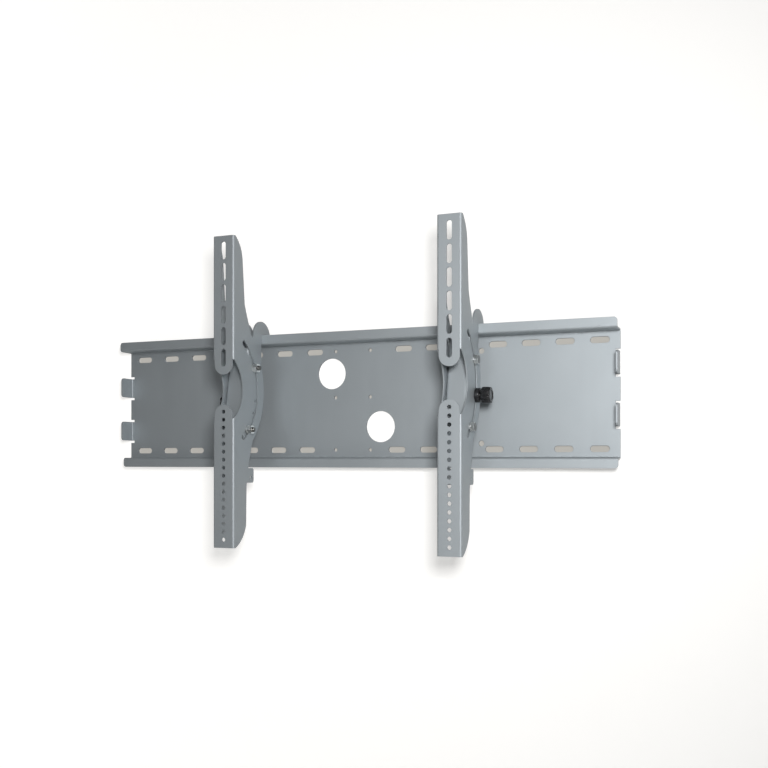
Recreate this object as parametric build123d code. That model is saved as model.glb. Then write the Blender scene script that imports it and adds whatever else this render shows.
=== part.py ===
from build123d import *
from math import acos, cos, degrees, dist, radians, sin
import os

# Tilting wall bracket for a television. Millimetres, +Z up. The origin is the middle of the wall
# plate's back face: the wall is the plane Y = 0, and the room lies towards -Y.

# Wall plate, one folded sheet: an open channel along the top edge and a plain lip along the bottom
PLATE_LENGTH = 870.0
PLATE_HEIGHT = 217.0
PLATE_SHEET = 2.5
PLATE_BEND = 1.5
LIP_HEIGHT = 16.0
TOP_LIP_REACH = 30.0
BOTTOM_LIP_REACH = 22.0
LIP_CORNER = 5.0

# Wall screw slots in an upper and a lower row, each side's first and last slot set out by itself
WALL_SLOT_LENGTH = 29.0
WALL_SLOT_WIDTH = 9.5
WALL_SLOT_ROW = 80.0
WALL_SLOTS_PER_SIDE = 7
END_SLOT_MARGIN = 30.0
UPPER_ROW_FIRST_LEFT = 66.0
UPPER_ROW_FIRST_RIGHT = 92.0
LOWER_ROW_FIRST = 80.5

# Round holes of the plate: cable openings, stud holes near the middle, and one small hole by each arm
CABLE_HOLE = 50.0
UPPER_CABLE_HOLE_X = -35.0
UPPER_CABLE_HOLE_Z = 44.0
LOWER_CABLE_HOLE_X = 52.0
LOWER_CABLE_HOLE_Z = -43.0
STUD_HOLE = 6.0
STUD_HOLE_LEFT = 28.0
STUD_HOLE_RIGHT = 34.0
STUD_HOLE_MIDDLE_Z = 5.0
ROUND_HOLE = 9.0
ROUND_HOLE_X = 222.0
ROUND_HOLE_ROW = 71.0

# End tabs, folded forward between two relief notches, two at each end of the plate
TAB_HEIGHT = 33.0
TAB_REACH = 28.0
TAB_CORNER = 5.0
TAB_NEAR_Z = 30.5
TAB_FAR_Z = 45.5
RELIEF_HEIGHT = 4.0
RELIEF_DEPTH = 7.0

# Virtual tilt axis, parallel to X, from which slots, bolts, rims and cut-outs are all set out
PIVOT_REACH = 142.0
PIVOT_HEIGHT = 15.0
RIM_WALL_GAP = 27.0
TRACK_INSET = 21.0
TRACK_WIDTH = 9.0
TRACK_TOP_ANGLE = 51.5
TRACK_BOTTOM_ANGLE = -53.0
UPPER_BOLT_ANGLE = 23.0
KNOB_ANGLE = -9.5
SPARE_HOLE_ANGLE = -22.0
LOWER_BOLT_ANGLE = -42.0

# Television arms, folded channels open towards the wall
LEFT_ARM_X = -166.5
RIGHT_ARM_X = 210.0
ARM_WIDTH = 38.0
ARM_SHEET = 2.0
ARM_BEND = 1.0
ARM_REACH = 112.0
ARM_TOP = 254.0
ARM_BOTTOM = -234.0
ARM_EDGE = 5.0
RIM_TOP_ANGLE = 42.0
RIM_BOTTOM_ANGLE = -44.0
SHOULDER_Y = -88.0
SHOULDER_Z = 222.0
SHOULDER_RISE = 4.0
WAIST_Y = -82.0
WAIST_Z = 150.0
WAIST_RISE = 1.2
SHANK_Y = -77.0
SHANK_Z = -138.0
SHANK_RISE = 2.0
HEEL_Y = -78.0
HEEL_Z = -200.0
HEEL_RISE = 5.0

# Crescent cut-out of an arm's cheeks and creases, and the two round-ended tongues of its face
CHEEK_BAND = 59.5
TONGUE_WIDTH = 32.0
UPPER_TONGUE_Z = 37.0
LOWER_TONGUE_Z = -10.0

# Television screw slots in the upper half of an arm's face and screw holes in its lower half
TV_SLOT_LENGTH = 28.0
TV_SLOT_WIDTH = 8.5
TV_SLOT_PITCH = 33.5
TV_SLOTS = 6
TV_SLOT_MARGIN = 23.0
TV_HOLE = 6.5
TV_HOLE_PITCH = 12.5
TV_HOLES = 17
TV_HOLE_MARGIN = 13.0

# Carriages, folded channels with a sloping web towards the room, one inside each arm
CHEEK_GAP = 0.5
CARRIAGE_SHEET = 2.5
CARRIAGE_BEND = 1.5
HOOK_GAP = 0.5
HOOK_SEAT_GAP = 0.3
HOOK_BASE_Z = 98.0
EAR_RADIUS = 24.3
EAR_MIDDLE_Y = -28.5
EAR_MIDDLE_Z = 106.5
WEB_TOP_REACH = 67.0
WEB_TOP_Z = 84.0
WEB_BOTTOM_REACH = 89.5
WEB_BOTTOM_Z = -40.0
KEEL_INSET = 3.0
LEG_FRONT = 81.0
LEG_TOP = -62.0
LEG_BOTTOM = -133.0
LEG_BACK = 70.5
FOOT_BACK = 53.0
FOOT_TOP = -109.5
FOOT_CORNER = 4.0
SPARE_HOLE = 5.0
LOCK_HOLE_Y = -60.5
LOCK_HOLE_Z = -124.0

# Bolts, nuts, washers and spacer tubes, along X through an arm and its carriage
BOLT = 8.0
BOLT_CLEARANCE = 0.4
THREAD_CLEARANCE = 0.1
HEX_FLATS = 13.0
BOLT_HEAD = 5.3
NUT_HEIGHT = 6.5
THREAD_END = 3.6
WASHER = 14.0
WASHER_SHEET = 1.2
WASHER_PLAY = 0.3
SPACER = 12.0
HEX_CHAMFER = 0.6

# Clamping knob on the outer cheek of each arm
KNOB_WASHER = 16.0
KNOB_RECESS_GAP = 0.2
KNOB_COLLAR = 22.0
KNOB_COLLAR_LENGTH = 7.4
KNOB_NECK = 13.0
KNOB_NECK_LENGTH = 2.0
KNOB_HEAD = 25.0
KNOB_HEAD_LENGTH = 14.5
KNOB_LOBES = 8
KNOB_FLUTE = 5.0
KNOB_FLUTE_OUT = 1.0
KNOB_ROUND = 2.5
KNOB_WALL = 4.0
CLAMP_NUT_HEIGHT = 6.5

ARM_HALF = ARM_WIDTH / 2
ARM_INSIDE = ARM_HALF - ARM_SHEET
CARRIAGE_HALF = ARM_INSIDE - CHEEK_GAP
CARRIAGE_INSIDE = CARRIAGE_HALF - CARRIAGE_SHEET
WASHER_SEAT = ARM_HALF + WASHER_PLAY
HEAD_SEAT = WASHER_SEAT + WASHER_SHEET
BOLT_HOLE = BOLT + BOLT_CLEARANCE
THREAD_BORE = BOLT + THREAD_CLEARANCE
RIM_RADIUS = PIVOT_REACH - RIM_WALL_GAP
KEEL_RADIUS = RIM_RADIUS - KEEL_INSET
TRACK_RADIUS = RIM_RADIUS - TRACK_INSET
CRESCENT_RADIUS = RIM_RADIUS - CHEEK_BAND
LIP_TIP = PLATE_HEIGHT / 2
LIP_BACK = TOP_LIP_REACH - PLATE_SHEET
CARRIAGE_BACK = TOP_LIP_REACH + HOOK_GAP


def polar(radius, angle):
    """The (y, z) point at a radius and an angle in degrees about the tilt axis."""
    turn = radians(angle)
    return (-PIVOT_REACH + radius * cos(turn), PIVOT_HEIGHT + radius * sin(turn))


def outline_of(*edges):
    """A face from edges and point lists drawn in (Y, Z) order around it."""
    return make_face(Curve() + list(edges))


def across(outline, width):
    """A side outline, drawn in (Y, Z), made solid to a width along X."""
    return extrude(Plane.YZ * outline, width / 2, both=True)


def along(outline, start, end):
    """An end outline, drawn in (X, Y), made solid from one height to another."""
    return extrude(Plane.XY.offset(start) * outline, end - start)


def round_corners(sketch, spots, radius):
    """Fillets the corners of a sketch that lie at the given spots."""
    corners = [sketch.vertices().sort_by_distance((a, b, 0))[0] for a, b in spots]
    return fillet(corners, radius)


def rod(start, end, spot, diameter):
    """A round bar along X from start to end, about a (y, z) spot."""
    return extrude(Plane.YZ.offset(start) * Pos(*spot) * Circle(diameter / 2), end - start)


def hexagon(start, end, spot, flats):
    """A hexagonal prism along X from start to end, with the corners of its far end chamfered."""
    hexagonal = RegularPolygon(flats / 2, 6, major_radius=False)
    prism = extrude(Plane.YZ.offset(start) * Pos(*spot) * hexagonal, end - start)
    cone = chamfer(rod(start, end, spot, flats / cos(radians(30))).edges().sort_by(Axis.X)[-1], HEX_CHAMFER)
    return prism & cone


def plate_section():
    """The wall plate's folded section, drawn in (Y, Z)."""
    shelf = LIP_TIP - LIP_HEIGHT
    crown = shelf + PLATE_SHEET
    bottom_back = BOTTOM_LIP_REACH - PLATE_SHEET
    points = [
        (-TOP_LIP_REACH, LIP_TIP),
        (-LIP_BACK, LIP_TIP),
        (-LIP_BACK, crown),
        (0, crown),
        (0, -crown),
        (-bottom_back, -crown),
        (-bottom_back, -LIP_TIP),
        (-BOTTOM_LIP_REACH, -LIP_TIP),
        (-BOTTOM_LIP_REACH, -shelf),
        (-PLATE_SHEET, -shelf),
        (-PLATE_SHEET, shelf),
        (-TOP_LIP_REACH, shelf),
    ]
    section = outline_of(Polyline(*points, close=True))
    section = round_corners(section, [points[2], points[5], points[9], points[10]], PLATE_BEND)
    return round_corners(section, [points[3], points[4], points[8], points[11]], PLATE_BEND + PLATE_SHEET)


def slot_row(first, last, height):
    """One side's row of wall screw slots, evenly pitched from its first slot to its last."""
    pitch = (last - first) / (WALL_SLOTS_PER_SIDE - 1)
    slot = SlotOverall(WALL_SLOT_LENGTH, WALL_SLOT_WIDTH)
    return [Pos(first + pitch * i, height) * slot for i in range(WALL_SLOTS_PER_SIDE)]


def plate_holes():
    """Every opening of the plate's web, drawn in (X, Z)."""
    end = PLATE_LENGTH / 2 - END_SLOT_MARGIN
    holes = slot_row(-UPPER_ROW_FIRST_LEFT, -end, WALL_SLOT_ROW)
    holes += slot_row(UPPER_ROW_FIRST_RIGHT, end, WALL_SLOT_ROW)
    holes += slot_row(-LOWER_ROW_FIRST, -end, -WALL_SLOT_ROW)
    holes += slot_row(LOWER_ROW_FIRST, end, -WALL_SLOT_ROW)
    for x in (-STUD_HOLE_LEFT, STUD_HOLE_RIGHT):
        for z in (WALL_SLOT_ROW, STUD_HOLE_MIDDLE_Z, -WALL_SLOT_ROW):
            holes.append(Pos(x, z) * Circle(STUD_HOLE / 2))
    for x in (-ROUND_HOLE_X, ROUND_HOLE_X):
        for z in (-ROUND_HOLE_ROW, ROUND_HOLE_ROW):
            holes.append(Pos(x, z) * Circle(ROUND_HOLE / 2))
    holes.append(Pos(UPPER_CABLE_HOLE_X, UPPER_CABLE_HOLE_Z) * Circle(CABLE_HOLE / 2))
    holes.append(Pos(LOWER_CABLE_HOLE_X, LOWER_CABLE_HOLE_Z) * Circle(CABLE_HOLE / 2))
    return Sketch() + holes


def end_tab(height):
    """One tab at the right end of the plate, folded forward, centred at a height."""
    end = PLATE_LENGTH / 2
    inside = end - PLATE_SHEET
    root = end - RELIEF_DEPTH
    points = [
        (root, 0),
        (end, 0),
        (end, -TAB_REACH),
        (inside, -TAB_REACH),
        (inside, -PLATE_SHEET),
        (root, -PLATE_SHEET),
    ]
    section = outline_of(Polyline(*points, close=True))
    section = round_corners(section, [points[1]], PLATE_BEND + PLATE_SHEET)
    section = round_corners(section, [points[4]], PLATE_BEND)
    tab = along(section, height - TAB_HEIGHT / 2, height + TAB_HEIGHT / 2)
    return fillet(tab.faces().sort_by(Axis.Y)[0].edges().filter_by(Axis.X), TAB_CORNER)


def wall_plate():
    """The folded wall plate with its lips, slots, round holes and end tabs."""
    plate = across(plate_section(), PLATE_LENGTH)
    tips = plate.edges().filter_by(Axis.Y).sort_by(Axis.Z)
    plate = fillet(tips[:2] + tips[-2:], LIP_CORNER)
    plate -= extrude(Plane.XZ * plate_holes(), PLATE_SHEET, both=True)
    relief = Box(2 * RELIEF_DEPTH, 4 * PLATE_SHEET, TAB_HEIGHT + 2 * RELIEF_HEIGHT)
    tabs = []
    for height in (TAB_FAR_Z, -TAB_NEAR_Z):
        plate -= Pos(PLATE_LENGTH / 2, 0, height) * relief
        plate -= Pos(-PLATE_LENGTH / 2, 0, -height) * relief
        tab = end_tab(height)
        tabs += [tab, Rot(0, 180, 0) * tab]
    return plate + tabs


def arm_outline():
    """The side outline of an arm, drawn in (Y, Z)."""
    rim_top = polar(RIM_RADIUS, RIM_TOP_ANGLE)
    rim_bottom = polar(RIM_RADIUS, RIM_BOTTOM_ANGLE)
    front = -ARM_REACH - ARM_SHEET
    top_edge = (-ARM_REACH + ARM_EDGE, ARM_TOP)
    bottom_edge = (-ARM_REACH + ARM_EDGE, ARM_BOTTOM)
    shoulder = (SHOULDER_Y, SHOULDER_Z)
    waist = (WAIST_Y, WAIST_Z)
    shank = (SHANK_Y, SHANK_Z)
    heel = (HEEL_Y, HEEL_Z)
    return outline_of(
        Line((front, ARM_TOP), top_edge),
        SagittaArc(top_edge, shoulder, SHOULDER_RISE),
        Line(shoulder, waist),
        SagittaArc(waist, rim_top, -WAIST_RISE),
        ThreePointArc(rim_top, polar(RIM_RADIUS, 0), rim_bottom),
        SagittaArc(rim_bottom, shank, -SHANK_RISE),
        Line(shank, heel),
        SagittaArc(heel, bottom_edge, HEEL_RISE),
        Line(bottom_edge, (front, ARM_BOTTOM)),
        Line((front, ARM_BOTTOM), (front, ARM_TOP)),
    )


def arm_face_holes():
    """The television slots and screw holes of an arm's face, drawn in (X, Z)."""
    slot = Rot(0, 0, 90) * SlotOverall(TV_SLOT_LENGTH, TV_SLOT_WIDTH)
    first_slot = ARM_TOP - TV_SLOT_MARGIN
    first_hole = ARM_BOTTOM + TV_HOLE_MARGIN
    holes = [Pos(0, first_slot - TV_SLOT_PITCH * i) * slot for i in range(TV_SLOTS)]
    holes += [Pos(0, first_hole + TV_HOLE_PITCH * i) * Circle(TV_HOLE / 2) for i in range(TV_HOLES)]
    return Sketch() + holes


def tongue_gap():
    """The break in an arm's face between its two round-ended tongues, drawn in (X, Z)."""
    end = TONGUE_WIDTH / 2
    upper = UPPER_TONGUE_Z + end
    lower = LOWER_TONGUE_Z - end
    gap = Pos(0, (upper + lower) / 2) * Rectangle(TONGUE_WIDTH, upper - lower)
    return gap - [Pos(0, upper) * Circle(end), Pos(0, lower) * Circle(end)]


def arm():
    """One arm about the plane X = 0: channel, crescent, tongues, track slots and screw holes."""
    inside = -ARM_REACH + ARM_SHEET
    points = [
        (-ARM_HALF, 0),
        (-ARM_HALF, -ARM_REACH),
        (ARM_HALF, -ARM_REACH),
        (ARM_HALF, 0),
        (ARM_INSIDE, 0),
        (ARM_INSIDE, inside),
        (-ARM_INSIDE, inside),
        (-ARM_INSIDE, 0),
    ]
    section = outline_of(Polyline(*points, close=True))
    section = round_corners(section, [points[1], points[2]], ARM_BEND + ARM_SHEET)
    section = round_corners(section, [points[5], points[6]], ARM_BEND)
    channel = along(section, ARM_BOTTOM - ARM_SHEET, ARM_TOP + ARM_SHEET)
    body = channel & across(arm_outline(), 2 * ARM_WIDTH)
    crescent = across(Pos(-PIVOT_REACH, PIVOT_HEIGHT) * Circle(CRESCENT_RADIUS), 2 * ARM_WIDTH)
    crescent -= across(Pos(-PIVOT_REACH, PIVOT_HEIGHT) * Circle(CRESCENT_RADIUS + ARM_SHEET), TONGUE_WIDTH)
    body -= crescent
    face = Plane.XZ.offset(ARM_REACH)
    body -= extrude(face * (arm_face_holes() + tongue_gap()), 2 * ARM_SHEET, both=True)
    sweep = TRACK_TOP_ANGLE - TRACK_BOTTOM_ANGLE
    track = CenterArc((-PIVOT_REACH, PIVOT_HEIGHT), TRACK_RADIUS, TRACK_BOTTOM_ANGLE, sweep)
    body -= across(SlotArc(track, TRACK_WIDTH), 2 * ARM_WIDTH)
    return body


def carriage_outline():
    """The side outline of a carriage, drawn in (Y, Z), with its hook over the top lip."""
    seat = LIP_TIP + HOOK_SEAT_GAP
    hook_front = -CARRIAGE_BACK
    hook_back = -LIP_BACK + HOOK_GAP
    ear_back = EAR_MIDDLE_Y + EAR_RADIUS
    ear_front = EAR_MIDDLE_Y - EAR_RADIUS
    ear_top = (EAR_MIDDLE_Y, EAR_MIDDLE_Z + EAR_RADIUS)
    web_top = (-WEB_TOP_REACH, WEB_TOP_Z)
    web_bottom = (-WEB_BOTTOM_REACH, WEB_BOTTOM_Z)
    leg_top = (-LEG_FRONT, LEG_TOP)
    keel_angle = degrees(acos((PIVOT_REACH - CARRIAGE_BACK) / KEEL_RADIUS))
    keel_top = polar(KEEL_RADIUS, -keel_angle)
    keel_bottom = polar(KEEL_RADIUS, RIM_BOTTOM_ANGLE)
    keel_middle = polar(KEEL_RADIUS, (RIM_BOTTOM_ANGLE - keel_angle) / 2)
    outline = outline_of(
        Polyline((hook_front, seat), (hook_back, seat), (hook_back, HOOK_BASE_Z), (ear_back, HOOK_BASE_Z)),
        Line((ear_back, HOOK_BASE_Z), (ear_back, EAR_MIDDLE_Z)),
        ThreePointArc((ear_back, EAR_MIDDLE_Z), ear_top, (ear_front, EAR_MIDDLE_Z)),
        Polyline((ear_front, EAR_MIDDLE_Z), web_top, web_bottom, leg_top, (-LEG_FRONT, LEG_BOTTOM)),
        Polyline((-LEG_FRONT, LEG_BOTTOM), (-FOOT_BACK, LEG_BOTTOM), (-FOOT_BACK, FOOT_TOP)),
        Polyline((-FOOT_BACK, FOOT_TOP), (-LEG_BACK, FOOT_TOP), keel_bottom),
        ThreePointArc(keel_bottom, keel_middle, keel_top),
        Line(keel_top, (hook_front, seat)),
    )
    feet = [(-FOOT_BACK, LEG_BOTTOM), (-FOOT_BACK, FOOT_TOP), (-LEG_FRONT, LEG_BOTTOM)]
    return round_corners(outline, feet, FOOT_CORNER)


def sloping_web():
    """The web of a carriage with its two creases, and the block of space that it takes up."""
    foot = (-WEB_BOTTOM_REACH, WEB_BOTTOM_Z)
    rise = (WEB_BOTTOM_REACH - WEB_TOP_REACH, WEB_TOP_Z - WEB_BOTTOM_Z)
    slope = Plane(origin=(0, *foot), x_dir=(1, 0, 0), z_dir=(0, *rise))
    length = dist((0, 0), rise)
    depth = CARRIAGE_SHEET + 2 * CARRIAGE_BEND
    points = [
        (-CARRIAGE_HALF, depth),
        (-CARRIAGE_HALF, 0),
        (CARRIAGE_HALF, 0),
        (CARRIAGE_HALF, depth),
        (CARRIAGE_INSIDE, depth),
        (CARRIAGE_INSIDE, CARRIAGE_SHEET),
        (-CARRIAGE_INSIDE, CARRIAGE_SHEET),
        (-CARRIAGE_INSIDE, depth),
    ]
    section = outline_of(Polyline(*points, close=True))
    section = round_corners(section, [points[1], points[2]], CARRIAGE_BEND + CARRIAGE_SHEET)
    section = round_corners(section, [points[5], points[6]], CARRIAGE_BEND)
    block = slope * Pos(0, 0, length / 2) * Box(4 * CARRIAGE_HALF, 2 * depth, length)
    return extrude(slope * section, length), block


def carriage():
    """One carriage about the plane X = 0: two cheeks, the web between them and its holes."""
    outline = carriage_outline()
    web, block = sloping_web()
    body = across(outline, 2 * CARRIAGE_HALF) - across(outline, 2 * CARRIAGE_INSIDE) - block + web
    for angle in (UPPER_BOLT_ANGLE, LOWER_BOLT_ANGLE):
        body -= rod(-ARM_HALF, ARM_HALF, polar(TRACK_RADIUS, angle), BOLT_HOLE)
    body -= rod(0, ARM_HALF, polar(TRACK_RADIUS, KNOB_ANGLE), BOLT_HOLE)
    for angle in (KNOB_ANGLE, SPARE_HOLE_ANGLE):
        body -= rod(-ARM_HALF, ARM_HALF, polar(TRACK_RADIUS, angle), SPARE_HOLE)
    body -= rod(-ARM_HALF, ARM_HALF, (LOCK_HOLE_Y, LOCK_HOLE_Z), SPARE_HOLE)
    return body


def bolt(spot):
    """A hexagon bolt whose head bears on the outer washer."""
    shank = rod(-HEAD_SEAT - NUT_HEIGHT - THREAD_END, HEAD_SEAT, spot, BOLT)
    shank = chamfer(shank.edges().sort_by(Axis.X)[0], HEX_CHAMFER)
    return shank + hexagon(HEAD_SEAT, HEAD_SEAT + BOLT_HEAD, spot, HEX_FLATS)


def nut(spot):
    """A hexagon nut against the inner washer."""
    block = mirror(hexagon(HEAD_SEAT, HEAD_SEAT + NUT_HEIGHT, spot, HEX_FLATS), Plane.YZ)
    return block - rod(-2 * HEAD_SEAT, 0, spot, THREAD_BORE)


def washers(spot):
    """The two washers of a bolt, one outside each cheek of the arm."""
    outer = rod(WASHER_SEAT, HEAD_SEAT, spot, WASHER)
    outer -= rod(0, 2 * HEAD_SEAT, spot, BOLT_HOLE)
    return Compound([outer, mirror(outer, Plane.YZ)])


def spacer(spot):
    """The tube on a bolt that keeps a carriage's cheeks apart."""
    return rod(-CARRIAGE_INSIDE, CARRIAGE_INSIDE, spot, SPACER) - rod(-ARM_HALF, ARM_HALF, spot, BOLT_HOLE)


def knob_head(start, spot):
    """The fluted head of a knob, with chamfered rims."""
    head = rod(start, start + KNOB_HEAD_LENGTH, spot, KNOB_HEAD)
    head = chamfer(head.edges().filter_by(GeomType.CIRCLE), KNOB_ROUND)
    flutes = PolarLocations(KNOB_HEAD / 2 + KNOB_FLUTE_OUT, KNOB_LOBES) * Circle(KNOB_FLUTE / 2)
    return head - extrude(Plane.YZ.offset(start) * Pos(*spot) * (Sketch() + flutes), KNOB_HEAD_LENGTH)


def knob(spot):
    """A knob on the outer side: collar with a washer recess, neck, fluted head and blind bore."""
    collar_end = WASHER_SEAT + KNOB_COLLAR_LENGTH
    neck_end = collar_end + KNOB_NECK_LENGTH
    collar = rod(WASHER_SEAT, collar_end, spot, KNOB_COLLAR)
    body = collar + rod(collar_end, neck_end, spot, KNOB_NECK) + knob_head(neck_end, spot)
    body -= rod(0, HEAD_SEAT, spot, KNOB_WASHER + 2 * KNOB_RECESS_GAP)
    return body - rod(0, neck_end + KNOB_HEAD_LENGTH - KNOB_WALL, spot, THREAD_BORE)


def knob_stud(spot):
    """The threaded stud from the clamp nut out into the knob."""
    end = WASHER_SEAT + KNOB_COLLAR_LENGTH + KNOB_NECK_LENGTH + KNOB_HEAD_LENGTH - KNOB_WALL
    return rod(CARRIAGE_INSIDE - CLAMP_NUT_HEIGHT, end, spot, BOLT)


def knob_washer(spot):
    """The washer between a knob and the arm's outer cheek."""
    return rod(WASHER_SEAT, HEAD_SEAT, spot, KNOB_WASHER) - rod(0, 2 * HEAD_SEAT, spot, BOLT_HOLE)


def clamp_nut(spot):
    """The nut inside a carriage's outer cheek, on the knob's stud."""
    block = mirror(hexagon(-CARRIAGE_INSIDE, CLAMP_NUT_HEIGHT - CARRIAGE_INSIDE, spot, HEX_FLATS), Plane.YZ)
    return block - rod(0, HEAD_SEAT, spot, THREAD_BORE)


def side_pieces():
    """Every piece of one side, about the plane X = 0 with its knob towards +X."""
    upper = polar(TRACK_RADIUS, UPPER_BOLT_ANGLE)
    lower = polar(TRACK_RADIUS, LOWER_BOLT_ANGLE)
    clamp = polar(TRACK_RADIUS, KNOB_ANGLE)
    pieces = {"arm": arm(), "carriage": carriage()}
    for name, spot in (("upper", upper), ("lower", lower)):
        pieces[name + "_bolt"] = bolt(spot)
        pieces[name + "_nut"] = nut(spot)
        pieces[name + "_washers"] = washers(spot)
        pieces[name + "_spacer"] = spacer(spot)
    pieces["knob"] = knob(clamp)
    pieces["knob_stud"] = knob_stud(clamp)
    pieces["knob_washer"] = knob_washer(clamp)
    pieces["clamp_nut"] = clamp_nut(clamp)
    return pieces


os.makedirs("parts", exist_ok=True)
export_step(wall_plate(), "parts/wall_plate.step")
for name, piece in side_pieces().items():
    export_step(Pos(RIGHT_ARM_X, 0, 0) * piece, f"parts/right_{name}.step")
    export_step(Pos(LEFT_ARM_X, 0, 0) * mirror(piece, Plane.YZ), f"parts/left_{name}.step")
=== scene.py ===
"""Dresses the tilting television wall bracket: finishes, bolts, knobs, room and camera. Metres, +Z up."""

import logging
from collections.abc import Callable, Mapping, Sequence
from dataclasses import dataclass, field
from enum import Enum
from math import cos, pi, radians, sin, tau

import bpy
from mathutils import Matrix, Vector


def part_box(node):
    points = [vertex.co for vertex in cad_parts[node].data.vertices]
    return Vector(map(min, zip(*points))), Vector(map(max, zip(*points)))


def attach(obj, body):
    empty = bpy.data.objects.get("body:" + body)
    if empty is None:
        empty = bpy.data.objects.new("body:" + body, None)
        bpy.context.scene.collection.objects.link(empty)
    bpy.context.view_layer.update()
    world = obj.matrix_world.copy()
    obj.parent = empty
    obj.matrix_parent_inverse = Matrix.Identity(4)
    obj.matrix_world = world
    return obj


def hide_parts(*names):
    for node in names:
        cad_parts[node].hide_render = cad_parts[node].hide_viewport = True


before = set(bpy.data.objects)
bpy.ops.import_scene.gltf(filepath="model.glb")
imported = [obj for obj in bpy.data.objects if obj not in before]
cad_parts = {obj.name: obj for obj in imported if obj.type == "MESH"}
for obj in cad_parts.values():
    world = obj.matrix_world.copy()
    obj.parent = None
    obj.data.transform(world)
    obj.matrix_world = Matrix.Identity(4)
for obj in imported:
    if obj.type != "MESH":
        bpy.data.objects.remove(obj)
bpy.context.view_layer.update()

LOG = logging.getLogger("bracket")
MM = 0.001
BEVEL_SAMPLES = 6
EDGE_STARTS = 0.004
EDGE_IS_FULL = 0.20
X_AXIS, Z_AXIS = 0, 2
Colour = tuple[float, float, float, float]
Triple = tuple[float, float, float]
BLACK: Colour = (0.0, 0.0, 0.0, 1.0)


class Side(Enum):
    """The side of the bracket that a piece belongs to, with the X direction of its outer cheek."""

    LEFT = ("left", -1.0)
    RIGHT = ("right", 1.0)

    @property
    def label(self) -> str:
        """The word that starts the names of this side's pieces."""
        return self.value[0]

    @property
    def outward(self) -> float:
        """The X direction in which this side's knob points."""
        return self.value[1]


class Signal:
    """One value socket of a material, with arithmetic that adds Math nodes."""

    def __init__(self, graph: "Graph", socket: bpy.types.NodeSocket) -> None:
        """Wraps a socket.

        Args:
            graph: The material that the socket is in.
            socket: The output socket to wrap.
        """
        self.graph = graph
        self.socket = socket

    def math(self, operation: str, *values: "Signal | float") -> "Signal":
        """Adds one Math node.

        Args:
            operation: The Math node's operation.
            values: The node's inputs in order, as signals or numbers.

        Returns:
            The node's result.
        """
        made = self.graph.node("Math", {"operation": operation}, dict(enumerate(values)))
        return Signal(self.graph, made.outputs[0])

    def __add__(self, other: "Signal | float") -> "Signal":
        """The sum with a signal or a number."""
        return self.math("ADD", self, other)

    def __radd__(self, other: "Signal | float") -> "Signal":
        """The sum with a number on the left."""
        return self.math("ADD", other, self)

    def __sub__(self, other: "Signal | float") -> "Signal":
        """The difference from a signal or a number."""
        return self.math("SUBTRACT", self, other)

    def __rsub__(self, other: "Signal | float") -> "Signal":
        """The difference of a number and this signal."""
        return self.math("SUBTRACT", other, self)

    def __mul__(self, other: "Signal | float") -> "Signal":
        """The product with a signal or a number."""
        return self.math("MULTIPLY", self, other)

    def __rmul__(self, other: "Signal | float") -> "Signal":
        """The product with a number on the left."""
        return self.math("MULTIPLY", other, self)

    def size(self) -> "Signal":
        """This signal without its sign."""
        return self.math("ABSOLUTE", self)

    def clamped(self) -> "Signal":
        """This signal held between 0 and 1."""
        return self.math("MINIMUM", self.math("MAXIMUM", self, 0.0), 1.0)

    def between(self, low: float, high: float) -> "Signal":
        """This signal's rise from 0 at low to 1 at high.

        Args:
            low: The value that gives 0.
            high: The value that gives 1.

        Returns:
            The rise, held between 0 and 1.
        """
        return ((self - low) * (1.0 / (high - low))).clamped()


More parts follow.
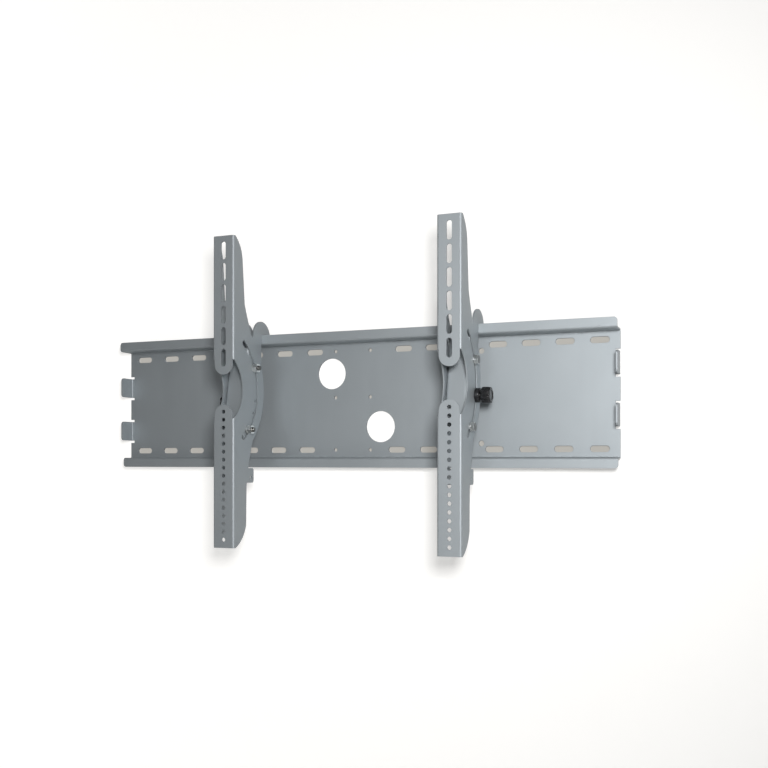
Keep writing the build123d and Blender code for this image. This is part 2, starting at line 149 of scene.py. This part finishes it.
class Graph:
    """The node tree of one material."""

    # A Mix node repeats its socket names for each kind of value, so its colour sockets go by number.
    MIX_FACTOR = 0
    MIX_LOW = 6
    MIX_HIGH = 7
    MIX_RESULT = 2

    def __init__(self, name: str) -> None:
        """Makes an empty material.

        Args:
            name: The material's name.
        """
        self.material = bpy.data.materials.new(name)
        self.material.use_nodes = True
        self.tree = self.material.node_tree
        self.tree.nodes.clear()

    def node(
        self,
        kind: str,
        settings: Mapping[str, object] | None = None,
        inputs: Mapping[int | str, object] | None = None,
    ) -> bpy.types.Node:
        """Adds one node.

        Args:
            kind: The node's type, without its ShaderNode prefix.
            settings: The node's properties, set first.
            inputs: Values, signals or sockets for its inputs, by name or number.

        Returns:
            The node.
        """
        made = self.tree.nodes.new("ShaderNode" + kind)
        for key, value in (settings or {}).items():
            setattr(made, key, value)
        for key, value in (inputs or {}).items():
            source = value.socket if isinstance(value, Signal) else value
            if isinstance(source, bpy.types.NodeSocket):
                self.tree.links.new(source, made.inputs[key])
            else:
                made.inputs[key].default_value = source
        return made

    def place(self) -> bpy.types.NodeSocket:
        """The point on the piece, in its own metres."""
        return self.node("TexCoord").outputs["Object"]

    def along(self, axis: int) -> Signal:
        """The point's place along one axis of the piece."""
        return Signal(self, self.node("SeparateXYZ", None, {0: self.place()}).outputs[axis])

    def stretched(self, scale: Triple) -> bpy.types.NodeSocket:
        """The point on the piece, scaled along each axis.

        Args:
            scale: The factor along X, Y and Z.

        Returns:
            The scaled point.
        """
        made = self.node("VectorMath", {"operation": "MULTIPLY"}, {0: self.place(), 1: scale})
        return made.outputs[0]

    def noise(self, scale: float, detail: float, at: bpy.types.NodeSocket | None = None) -> Signal:
        """Soft noise from 0 to 1.

        Args:
            scale: Its cells per metre.
            detail: Its octaves.
            at: The point to read it at, or None for the point on the piece.

        Returns:
            The noise.
        """
        inputs = {"Vector": at or self.place(), "Scale": scale, "Detail": detail}
        return Signal(self, self.node("TexNoise", None, inputs).outputs["Fac"])

    def flakes(self, scale: float) -> Signal:
        """A random value for each cell of a fine pattern.

        Args:
            scale: Its cells per metre.

        Returns:
            The cells' values, from 0 to 1.
        """
        cells = self.node("TexVoronoi", None, {"Vector": self.place(), "Scale": scale})
        split = self.node("SeparateColor", None, {0: cells.outputs["Color"]})
        return Signal(self, split.outputs[0])

    def blend(
        self,
        amount: Signal | float,
        low: "Colour | bpy.types.NodeSocket",
        high: "Colour | bpy.types.NodeSocket",
    ) -> bpy.types.NodeSocket:
        """A colour between two colours.

        Args:
            amount: 0 gives low and 1 gives high.
            low: The first colour.
            high: The second colour.

        Returns:
            The mixed colour.
        """
        inputs = {self.MIX_FACTOR: amount, self.MIX_LOW: low, self.MIX_HIGH: high}
        return self.node("Mix", {"data_type": "RGBA"}, inputs).outputs[self.MIX_RESULT]

    def soft_edges(self, radius: float) -> bpy.types.NodeSocket:
        """The surface's normal with its sharp edges rounded off.

        Args:
            radius: The edge radius in metres.

        Returns:
            The normal.
        """
        return self.node("Bevel", {"samples": BEVEL_SAMPLES}, {"Radius": radius}).outputs[0]

    def edges(self, rounded: bpy.types.NodeSocket) -> Signal:
        """How close a point is to a sharp edge.

        Args:
            rounded: The normal that soft_edges gave.

        Returns:
            0 on flat faces, rising towards 1 on edges.
        """
        flat = self.node("NewGeometry").outputs["Normal"]
        match = self.node("VectorMath", {"operation": "DOT_PRODUCT"}, {0: rounded, 1: flat})
        return (1.0 - Signal(self, match.outputs["Value"])).between(EDGE_STARTS, EDGE_IS_FULL)

    def finish(self, shader: bpy.types.Node) -> bpy.types.Material:
        """Ends the material with a shader.

        Args:
            shader: The node whose first output is the surface.

        Returns:
            The material.
        """
        self.node("OutputMaterial", None, {"Surface": shader.outputs[0]})
        return self.material


@dataclass(frozen=True)
class SilverPaint:
    """Baked silver-grey metallic paint on folded steel, with painted shade darkening its sharp edges."""

    deep: Colour = (0.330, 0.360, 0.378, 1.0)
    pale: Colour = (0.400, 0.430, 0.450, 1.0)
    # The edge colour is painted shade: a darker tone along every sharp edge of the sheet, standing in for
    # the dark outlines that light leaves there.
    edge: Colour = (0.17, 0.19, 0.20, 1.0)
    metallic: float = 0.80
    lacquer: float = 0.12
    lacquer_roughness: float = 0.28
    roughness: float = 0.57
    roughness_spread: float = 0.08
    edge_radius: float = 0.35 * MM
    edge_shade_share: float = 0.75
    cloud_scale: float = 9.0
    cloud_share: float = 0.6
    rolled_scale: float = 60.0
    rolled_along: Triple = (1.0, 1.0, 0.12)
    rolled_share: float = 0.25
    flake_scale: float = 5200.0
    flake_share: float = 0.35
    tone_drop: float = 0.1
    peel_scale: float = 1100.0
    peel_flakes: float = 0.6
    peel_strength: float = 0.10
    peel_depth: float = 0.06 * MM

    def build(self) -> bpy.types.Material:
        """Makes the paint's material.

        Returns:
            The material.
        """
        graph = Graph("silver_paint")
        clouds = graph.noise(self.cloud_scale, detail=4.0)
        rolled = graph.noise(self.rolled_scale, detail=3.0, at=graph.stretched(self.rolled_along))
        flakes = graph.flakes(self.flake_scale)
        rounded = graph.soft_edges(self.edge_radius)
        edges = graph.edges(rounded)
        mottle = clouds * self.cloud_share + rolled * self.rolled_share + flakes * self.flake_share
        tone = (mottle - self.tone_drop).clamped()
        # Sharp edges are blended towards the edge colour as painted shade.
        colour = graph.blend(edges * self.edge_shade_share, graph.blend(tone, self.deep, self.pale), self.edge)
        roughness = self.roughness + self.roughness_spread * rolled + self.roughness_spread * flakes
        peel = graph.noise(self.peel_scale, detail=2.0) + self.peel_flakes * flakes
        relief = graph.node("Bump", None, {
            "Strength": self.peel_strength,
            "Distance": self.peel_depth,
            "Height": peel,
            "Normal": rounded,
        })
        return graph.finish(graph.node("BsdfPrincipled", None, {
            "Base Color": colour,
            "Metallic": self.metallic,
            "Roughness": roughness,
            "Coat Weight": self.lacquer,
            "Coat Roughness": self.lacquer_roughness,
            "Normal": relief.outputs[0],
        }))


@dataclass(frozen=True)
class ZincPlate:
    """Zinc plate on bolts, nuts, washers and tubes: bright where it was pressed. A very dark copy of it is
    painted shade and a painted dark reflection on the thread and the bolt heads' end faces.
    """

    name: str = "zinc_plate"
    bright: Colour = (0.84, 0.85, 0.84, 1.0)
    dull: Colour = (0.62, 0.63, 0.62, 1.0)
    roughness: float = 0.24
    roughness_spread: float = 0.12
    edge_radius: float = 0.15 * MM
    cloud_scale: float = 240.0
    cloud_span: tuple[float, float] = (0.3, 0.7)
    turned_scale: float = 1500.0
    turned_along: Triple = (0.08, 1.0, 1.0)
    turned_strength: float = 0.06
    turned_depth: float = 0.04 * MM

    def build(self) -> bpy.types.Material:
        """Makes the plating's material.

        Returns:
            The material.
        """
        graph = Graph(self.name)
        clouds = graph.noise(self.cloud_scale, detail=4.0)
        turned = graph.noise(self.turned_scale, detail=2.0, at=graph.stretched(self.turned_along))
        rounded = graph.soft_edges(self.edge_radius)
        relief = graph.node("Bump", None, {
            "Strength": self.turned_strength,
            "Distance": self.turned_depth,
            "Height": turned,
            "Normal": rounded,
        })
        return graph.finish(graph.node("BsdfPrincipled", None, {
            "Base Color": graph.blend(clouds.between(*self.cloud_span), self.dull, self.bright),
            "Metallic": 1.0,
            "Roughness": self.roughness + self.roughness_spread * clouds,
            "Normal": relief.outputs[0],
        }))


@dataclass(frozen=True)
class BlackPlastic:
    """Moulded black plastic of the knobs, glossy with worn grips."""

    dark: Colour = (0.005, 0.005, 0.006, 1.0)
    worn: Colour = (0.018, 0.018, 0.019, 1.0)
    roughness: float = 0.20
    roughness_spread: float = 0.12
    edge_radius: float = 0.3 * MM
    cloud_scale: float = 180.0
    wear_share: float = 0.5
    grain_scale: float = 3000.0
    grain_strength: float = 0.12
    grain_depth: float = 0.05 * MM

    def build(self) -> bpy.types.Material:
        """Makes the plastic's material.

        Returns:
            The material.
        """
        graph = Graph("black_plastic")
        clouds = graph.noise(self.cloud_scale, detail=3.0)
        rounded = graph.soft_edges(self.edge_radius)
        wear = (clouds * self.wear_share + graph.edges(rounded) * self.wear_share).clamped()
        grain = graph.node("Bump", None, {
            "Strength": self.grain_strength,
            "Distance": self.grain_depth,
            "Height": graph.noise(self.grain_scale, detail=2.0),
            "Normal": rounded,
        })
        return graph.finish(graph.node("BsdfPrincipled", None, {
            "Base Color": graph.blend(wear, self.dark, self.worn),
            "Roughness": self.roughness + self.roughness_spread * clouds,
            "Normal": grain.outputs[0],
        }))


@dataclass(frozen=True)
class RoomPaint:
    """Matt pale paint of the wall and floor, see-through from behind and to what touches it, with painted
    shade where the wall lies behind the plate.
    """

    name: str
    colour: Colour
    lift: float
    roughness: float = 0.9
    glossy_share: float = 0.15
    lift_span: tuple[float, float] = (-0.74, 0.64)
    lift_fall: float = 0.0
    # The colour below is painted shade: a darker beige laid on the wall behind the plate and seen through
    # its slots.
    plate_shade: Colour | None = None
    plate_shade_half: tuple[float, float] = (0.425, 0.100)
    cable_holes: tuple[Triple, ...] = ((-0.035, 0.0, 0.044), (0.052, 0.0, -0.043))
    cable_radius: float = 30.0 * MM
    seen_from: float = 3.0 * MM

    def plate_shade_mask(self, graph: Graph) -> Signal:
        """Where the wall behind the plate takes a darker beige as painted shade of the plate, away from
        the cable holes.

        Args:
            graph: The paint's material.

        Returns:
            1 behind the plate, and 0 elsewhere.
        """
        across, height = (graph.along(axis).size() for axis in (X_AXIS, Z_AXIS))
        half_width, half_height = self.plate_shade_half
        mask = across.between(half_width, half_width - MM) * height.between(half_height, half_height - MM)
        for hole in self.cable_holes:
            gap = graph.node("VectorMath", {"operation": "DISTANCE"}, {0: graph.place(), 1: hole})
            outside = Signal(graph, gap.outputs["Value"])
            mask = mask * outside.between(self.cable_radius, self.cable_radius + MM)
        return mask

    def build(self) -> bpy.types.Material:
        """Makes the paint's material.

        Returns:
            The material.
        """
        graph = Graph(self.name)
        colour = self.colour
        # Behind the plate the wall's colour turns to painted shade.
        if self.plate_shade is not None:
            colour = graph.blend(self.plate_shade_mask(graph), self.colour, self.plate_shade)
        seen = graph.node("LightPath")
        direct = Signal(graph, seen.outputs["Is Camera Ray"])
        through = Signal(graph, seen.outputs["Is Transmission Ray"])
        glossy = Signal(graph, seen.outputs["Is Glossy Ray"])
        fall = graph.along(X_AXIS).between(*self.lift_span) * self.lift_fall
        lift = (direct + through + glossy * self.glossy_share) * (1.0 - fall)
        glow = graph.node("BsdfPrincipled", None, {
            "Base Color": colour,
            "Roughness": self.roughness,
            "Emission Color": graph.blend(lift.clamped(), BLACK, colour),
            "Emission Strength": self.lift,
        })
        behind = Signal(graph, graph.node("NewGeometry").outputs["Backfacing"])
        touching = Signal(graph, seen.outputs["Ray Length"]).between(self.seen_from, self.seen_from - MM)
        clear = graph.node("BsdfTransparent")
        return graph.finish(graph.node("MixShader", None, {
            0: behind.math("MAXIMUM", behind, touching),
            1: glow.outputs[0],
            2: clear.outputs[0],
        }))


def skin(name: str, rings: Sequence[Sequence[Vector]], sharp: float) -> bpy.types.Object:
    """Joins rings of points into one closed mesh, with flat ends.

    Args:
        name: The piece's name.
        rings: The rings in order, each with the same number of points.
        sharp: The angle in degrees above which an edge is drawn sharp.

    Returns:
        The piece, linked into the scene.
    """
    count = len(rings[0])
    points = [point for ring in rings for point in ring]
    faces = [tuple(range(count - 1, -1, -1))]
    for row in range(len(rings) - 1):
        start = row * count
        for i in range(count):
            j = (i + 1) % count
            faces.append((start + i, start + j, start + count + j, start + count + i))
    last = (len(rings) - 1) * count
    faces.append(tuple(range(last, last + count)))
    mesh = bpy.data.meshes.new(name)
    mesh.from_pydata(points, [], faces)
    mesh.shade_smooth()
    mesh.set_sharp_from_angle(angle=radians(sharp))
    piece = bpy.data.objects.new(name, mesh)
    bpy.context.scene.collection.objects.link(piece)
    return piece


@dataclass(frozen=True)
class Spindle:
    """An axis along X on which rings are set out, from its foot outwards."""

    foot: float
    y: float
    z: float
    outward: float

    def ring(self, reach: float, radius: Callable[[float], float], count: int) -> list[Vector]:
        """One ring of points about the axis.

        Args:
            reach: The ring's distance from the foot.
            radius: The radius at an angle in radians.
            count: The number of points.

        Returns:
            The points, wound so that the outside faces out.
        """
        x = self.foot + self.outward * reach
        ring = []
        for i in range(count):
            turn = self.outward * tau * i / count
            size = radius(turn)
            ring.append(Vector((x, self.y + size * cos(turn), self.z + size * sin(turn))))
        return ring


@dataclass
class Room:
    """The pale wall and floor behind the bracket, its soft lights and the camera."""

    wall_gap: float = 0.6 * MM
    wall_width: float = 7.0
    floor_z: float = -0.85
    wall_top: float = 3.0
    wall_paint: RoomPaint = RoomPaint(
        name="wall_paint",
        colour=(0.56, 0.555, 0.545, 1.0),
        lift=1.36,
        lift_fall=0.66,
        # Painted shade of the plate on the wall behind it.
        plate_shade=(0.245, 0.236, 0.218, 1.0),
    )
    floor_paint: RoomPaint = RoomPaint("floor_paint", (0.76, 0.76, 0.75, 1.0), 0.60)
    eye: Triple = (0.6481, -1.2812, -0.0960)
    turn_degrees: float = 19.2
    focal_pixels: float = 878.36
    image_pixels: float = 768.0
    centre_pixel: tuple[float, float] = (469.66, 459.72)
    sensor: float = 36.0
    clip_start: float = 0.01
    aim: Triple = (0.05, -0.05, 0.0)
    key_spot: Triple = (0.76, -1.27, 0.16)
    key_size: tuple[float, float] = (0.28, 0.28)
    key_power: float = 21.0
    back_spot: Triple = (-0.60, 1.60, 0.90)
    back_size: tuple[float, float] = (0.90, 0.90)
    back_power: float = 14.0
    world_colour: Colour = (1.0, 1.0, 1.0, 1.0)
    world_strength: float = 0.22

    def panel(self, name: str, corners: Sequence[Triple], paint: RoomPaint) -> None:
        """Adds one flat stage panel.

        Args:
            name: Its name.
            corners: Its corners, anticlockwise as seen from its painted side.
            paint: Its paint.
        """
        mesh = bpy.data.meshes.new(name)
        mesh.from_pydata(corners, [], [tuple(range(len(corners)))])
        mesh.materials.append(paint.build())
        panel = bpy.data.objects.new(name, mesh)
        bpy.context.scene.collection.objects.link(panel)

    def build(self) -> None:
        """Adds the wall and the floor."""
        half = self.wall_width / 2
        front, back = -self.wall_width, self.wall_gap
        low, top = self.floor_z, self.wall_top
        wall = [(-half, back, low), (half, back, low), (half, back, top), (-half, back, top)]
        floor = [(-half, front, low), (half, front, low), (half, back, low), (-half, back, low)]
        self.panel("wall", wall, self.wall_paint)
        self.panel("floor", floor, self.floor_paint)
        LOG.info("room: wall and floor")

    def lamp(self, name: str, spot: Triple, size: tuple[float, float], power: float) -> None:
        """Adds one soft light that faces the bracket.

        Args:
            name: Its name.
            spot: Where it stands.
            size: Its width and height in metres.
            power: Its power in watts.
        """
        light = bpy.data.lights.new(name, "AREA")
        light.shape = "RECTANGLE"
        light.size, light.size_y = size
        light.energy = power
        lamp = bpy.data.objects.new(name, light)
        lamp.visible_camera = False
        lamp.location = spot
        lamp.rotation_euler = (Vector(self.aim) - Vector(spot)).to_track_quat("-Z", "Y").to_euler()
        bpy.context.scene.collection.objects.link(lamp)

    def light(self) -> None:
        """Adds the soft lights and the even light of the room."""
        self.lamp("key_light", self.key_spot, self.key_size, self.key_power)
        self.lamp("back_light", self.back_spot, self.back_size, self.back_power)
        world = bpy.data.worlds.new("room_light")
        world.use_nodes = True
        background = world.node_tree.nodes["Background"]
        background.inputs["Color"].default_value = self.world_colour
        background.inputs["Strength"].default_value = self.world_strength
        bpy.context.scene.world = world
        bpy.context.scene.view_settings.view_transform = "Standard"
        LOG.info("room: lights")

    def camera(self) -> None:
        """Adds the camera at the photograph's viewing angle."""
        lens = bpy.data.cameras.new("camera")
        lens.sensor_width = self.sensor
        lens.lens = self.focal_pixels / self.image_pixels * self.sensor
        lens.shift_x = (self.image_pixels / 2 - self.centre_pixel[0]) / self.image_pixels
        lens.shift_y = (self.centre_pixel[1] - self.image_pixels / 2) / self.image_pixels
        lens.clip_start = self.clip_start
        camera = bpy.data.objects.new("camera", lens)
        camera.location = self.eye
        camera.rotation_euler = (pi / 2, 0.0, radians(self.turn_degrees))
        bpy.context.scene.collection.objects.link(camera)
        bpy.context.scene.camera = camera
        LOG.info("room: camera")


@dataclass
class ThreadedBolt:
    """A hexagon bolt with a rolled thread, in place of a plain one."""

    side: Side
    level: str
    finish: bpy.types.Material
    painted_shade_finish: bpy.types.Material
    head_height: float = 5.3 * MM
    flats: float = 13.0 * MM
    shank_radius: float = 4.0 * MM
    pitch: float = 1.25 * MM
    thread_depth: float = 0.62 * MM
    thread_length: float = 22.0 * MM
    steps_per_turn: int = 6
    end_radius_drop: float = 1.4
    face_share: float = 0.30
    flat_share: float = 0.49
    chamfer_slope: float = 0.55
    plain_rings: int = 6
    count: int = 36
    sharp: float = 40.0

    def hexagon(self, turn: float) -> float:
        """The head's radius at an angle."""
        part = (turn % (pi / 3)) - pi / 6
        return self.flats / 2 / cos(part)

    def chamfer_drop(self, turn: float) -> float:
        """How far the head's corner is cut down at an angle."""
        return max(0.0, self.hexagon(turn) - self.flat_share * self.flats) * self.chamfer_slope

    def build(self) -> None:
        """Makes the bolt and hands it to its body."""
        node = f"{self.side.label}_{self.level}_bolt"
        low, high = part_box(node)
        outward = self.side.outward
        top = high[0] if outward > 0 else low[0]
        length = high[0] - low[0]
        spindle = Spindle(top, (low[1] + high[1]) / 2, (low[2] + high[2]) / 2, -outward)
        count = self.count

        def head(reach: float, drop: float) -> list[Vector]:
            """One hexagonal ring of the head.

            Args:
                reach: The ring's distance from the head's top.
                drop: The share of the chamfer by which its corners are lowered.

            Returns:
                The ring's points.
            """
            ring = spindle.ring(reach, self.hexagon, count)
            for i, point in enumerate(ring):
                point.x -= outward * drop * self.chamfer_drop(-outward * tau * i / count)
            return ring

        rings = [
            spindle.ring(0.0, lambda turn: self.face_share * self.flats, count),
            spindle.ring(0.0, lambda turn: self.flat_share * self.flats, count),
            head(0.0, 1.0),
            head(self.head_height, 0.0),
            spindle.ring(self.head_height, lambda turn: self.shank_radius, count),
        ]
        thread_start = length - self.thread_length
        rings.append(spindle.ring(thread_start, lambda turn: self.shank_radius, count))
        steps = int(self.thread_length / self.pitch * self.steps_per_turn)
        for step in range(1, steps):
            reach = thread_start + self.thread_length * step / steps
            rings.append(spindle.ring(reach, self.ridge(reach, length), count))
        end_radius = self.shank_radius - self.end_radius_drop * self.thread_depth
        rings.append(spindle.ring(length, lambda turn: end_radius, count))
        bolt = skin(f"{node}_threaded", rings, self.sharp)
        bolt.data.materials.append(self.finish)
        bolt.data.materials.append(self.painted_shade_finish)
        # The head's end face and the thread take the dark copy of the zinc: painted shade and a painted
        # dark reflection, not the plating's own colour.
        end_faces = 1 + count
        plain_faces = self.plain_rings * count
        for face in bolt.data.polygons:
            face.material_index = int(face.index < end_faces or face.index > plain_faces)
        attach(bolt, f"{self.side.label}_hanger")
        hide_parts(node)
        LOG.info("bolt: %s", bolt.name)

    def ridge(self, reach: float, length: float) -> Callable[[float], float]:
        """The thread's radius round one ring.

        Args:
            reach: The ring's distance from the head's top.
            length: The bolt's whole length.

        Returns:
            The radius as a function of the angle.
        """
        taper = max(0.0, 1.0 - (length - reach) / self.pitch)

        def radius(turn: float) -> float:
            """The radius at an angle.

            Args:
                turn: The angle in radians.

            Returns:
                The radius in metres.
            """
            phase = (reach / self.pitch + turn / tau) % 1.0
            groove = 1.0 - abs(2.0 * phase - 1.0)
            return self.shank_radius - self.thread_depth * min(1.0, groove + taper)

        return radius


@dataclass
class ClampKnob:
    """A moulded knob: collar, neck and fluted grip with a dished end."""

    side: Side
    finish: bpy.types.Material
    bore_radius: float = 4.05 * MM
    bore_wall: float = 4.0 * MM
    recess_radius: float = 8.2 * MM
    recess_depth: float = 1.2 * MM
    collar_radius: float = 11.0 * MM
    collar_length: float = 7.4 * MM
    collar_rounding: float = 1.0 * MM
    neck_radius: float = 6.5 * MM
    neck_length: float = 2.0 * MM
    grip_radius: float = 12.5 * MM
    grip_length: float = 14.5 * MM
    grip_rounding: float = 3.0 * MM
    flute_depth: float = 1.9 * MM
    flute_power: float = 1.6
    lobes: int = 8
    rounding_steps: int = 6
    flute_fade: float = 0.6
    dish_depth: float = 0.9 * MM
    dish_rim_share: float = 0.62
    dish_share: float = 0.54
    middle_share: float = 0.1
    count: int = 128
    sharp: float = 38.0

    def fluted(self, size: float, depth: float) -> Callable[[float], float]:
        """A lobed outline.

        Args:
            size: The radius at the lobes' tops.
            depth: The flutes' depth.

        Returns:
            The radius as a function of the angle.
        """
        return lambda turn: size - depth * (0.5 + 0.5 * cos(self.lobes * turn)) ** self.flute_power

    def build(self) -> None:
        """Makes the knob and hands it to its body."""
        node = f"{self.side.label}_knob"
        low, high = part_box(node)
        outward = self.side.outward
        foot = low[0] if outward > 0 else high[0]
        spindle = Spindle(foot, (low[1] + high[1]) / 2, (low[2] + high[2]) / 2, outward)
        rings: list[list[Vector]] = []

        def add(reach: float, size: float, depth: float = 0.0) -> None:
            """Adds one ring at a reach, with a size and a flute depth."""
            rings.append(spindle.ring(reach, self.fluted(size, depth), self.count))

        def round_over(edge: float, sign: float, size: float, rounding: float, depth: float = 0.0) -> None:
            """Adds the rounded rim next to an edge.

            Args:
                edge: The edge's distance from the foot.
                sign: -1 for an edge that faces the foot, and 1 for one that faces the end.
                size: The radius next to the rim.
                rounding: The rim's own radius.
                depth: The flutes' depth.
            """
            step_degrees = 90.0 / self.rounding_steps
            for step in range(self.rounding_steps + 1):
                swing = radians(step_degrees * (step if sign > 0 else self.rounding_steps - step))
                reach = edge + sign * rounding * (sin(swing) - 1.0)
                add(reach, size - rounding * (1.0 - cos(swing)), depth * cos(swing * self.flute_fade))

        grip = self.collar_length + self.neck_length
        end = grip + self.grip_length
        add(end - self.bore_wall, self.bore_radius)
        add(self.recess_depth, self.bore_radius)
        add(self.recess_depth, self.recess_radius)
        add(0.0, self.recess_radius)
        round_over(0.0, -1.0, self.collar_radius, self.collar_rounding)
        round_over(self.collar_length, 1.0, self.collar_radius, self.collar_rounding)
        add(self.collar_length, self.neck_radius)
        add(grip, self.neck_radius)
        round_over(grip, -1.0, self.grip_radius, self.grip_rounding, self.flute_depth)
        round_over(end, 1.0, self.grip_radius, self.grip_rounding, self.flute_depth)
        add(end, self.dish_rim_share * self.grip_radius)
        add(end - self.dish_depth, self.dish_share * self.grip_radius)
        add(end - self.dish_depth, self.middle_share * self.grip_radius)
        knob = skin(f"{node}_moulded", rings, self.sharp)
        knob.data.materials.append(self.finish)
        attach(knob, node)
        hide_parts(node)
        LOG.info("knob: %s", knob.name)


@dataclass
class Bracket:
    """The whole bracket: paints its folded sheets and dresses each side's hardware."""

    paint: SilverPaint = field(default_factory=SilverPaint)
    plating: ZincPlate = field(default_factory=ZincPlate)
    # A very dark copy of the zinc: painted shade and a painted dark reflection for the thread and the bolt
    # heads' end faces.
    painted_shade_zinc: ZincPlate = ZincPlate(
        name="zinc_painted_shade",
        bright=(0.20, 0.20, 0.19, 1.0),
        dull=(0.08, 0.08, 0.08, 1.0),
    )
    plastic: BlackPlastic = field(default_factory=BlackPlastic)
    painted: tuple[str, ...] = ("arm", "carriage")
    moulded: str = "knob"

    def dress(self, node: str, finish: bpy.types.Material) -> None:
        """Gives a solid its finish.

        Args:
            node: The solid's node.
            finish: Its material.
        """
        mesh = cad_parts[node].data
        mesh.materials.clear()
        mesh.materials.append(finish)

    def build(self) -> None:
        """Dresses every piece of the bracket."""
        paint = self.paint.build()
        plating = self.plating.build()
        painted_shade_zinc = self.painted_shade_zinc.build()
        plastic = self.plastic.build()
        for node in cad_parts:
            piece = node.split("_", 1)[1]
            if node == "wall_plate" or piece in self.painted:
                self.dress(node, paint)
            elif piece == self.moulded:
                self.dress(node, plastic)
            else:
                self.dress(node, plating)
        LOG.info("bracket: %d solids dressed", len(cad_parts))
        for side in Side:
            for level in ("upper", "lower"):
                ThreadedBolt(side, level, plating, painted_shade_zinc).build()
            ClampKnob(side, plastic).build()


def main() -> None:
    """Builds the room and the bracket in order."""
    logging.basicConfig(level=logging.INFO)
    room = Room()
    room.build()
    room.light()
    room.camera()
    Bracket().build()


if __name__ == "__main__":
    main()
